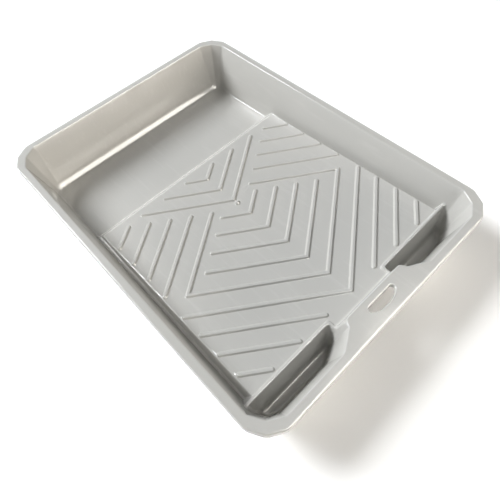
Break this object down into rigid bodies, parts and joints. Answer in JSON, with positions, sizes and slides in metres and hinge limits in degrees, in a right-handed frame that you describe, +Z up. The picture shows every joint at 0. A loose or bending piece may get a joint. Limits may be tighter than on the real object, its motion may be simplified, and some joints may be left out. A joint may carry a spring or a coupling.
{
  "type": "paint roller tray",
  "caption": "Shallow plastic paint roller tray with a deep well, a sloping ribbed deck, side gutters, leg pockets at the front corners and a hang tab.",
  "frame": {"origin": "on the ground under the middle of the tray's bounding box", "axes": "+Y along the tray from the hang tab to the deep well, +X across it to the right as seen from the hang tab, +Z up"},
  "size_m": [0.286, 0.385, 0.057],
  "materials": {
    "moulded_plastic": "glossy injection-moulded polypropylene, light warm grey"
  },
  "bodies": {
    "root": {"rim_back": "moulded_plastic", "rim_front": "moulded_plastic", "rim_left": "moulded_plastic", "rim_right": "moulded_plastic", "rim_corner_back_left": "moulded_plastic", "rim_corner_back_right": "moulded_plastic", "rim_corner_front_left": "moulded_plastic", "rim_corner_front_right": "moulded_plastic", "hang_tab": "moulded_plastic", "tab_wall": "moulded_plastic", "tab_flare_left": "moulded_plastic", "tab_flare_right": "moulded_plastic", "front_wall_left": "moulded_plastic", "front_wall_right": "moulded_plastic", "front_corner_left": "moulded_plastic", "front_corner_right": "moulded_plastic", "leg_pocket_left": "moulded_plastic", "leg_pocket_right": "moulded_plastic", "well_back_wall": "moulded_plastic", "well_corner_left": "moulded_plastic", "well_corner_right": "moulded_plastic", "well_side_left": "moulded_plastic", "well_side_right": "moulded_plastic", "well_floor": "moulded_plastic", "well_ramp": "moulded_plastic", "gutter_left": "moulded_plastic", "gutter_right": "moulded_plastic", "gutter_wall_left": "moulded_plastic", "gutter_wall_right": "moulded_plastic", "roller_deck": "moulded_plastic"}
  },
  "joints": []
}
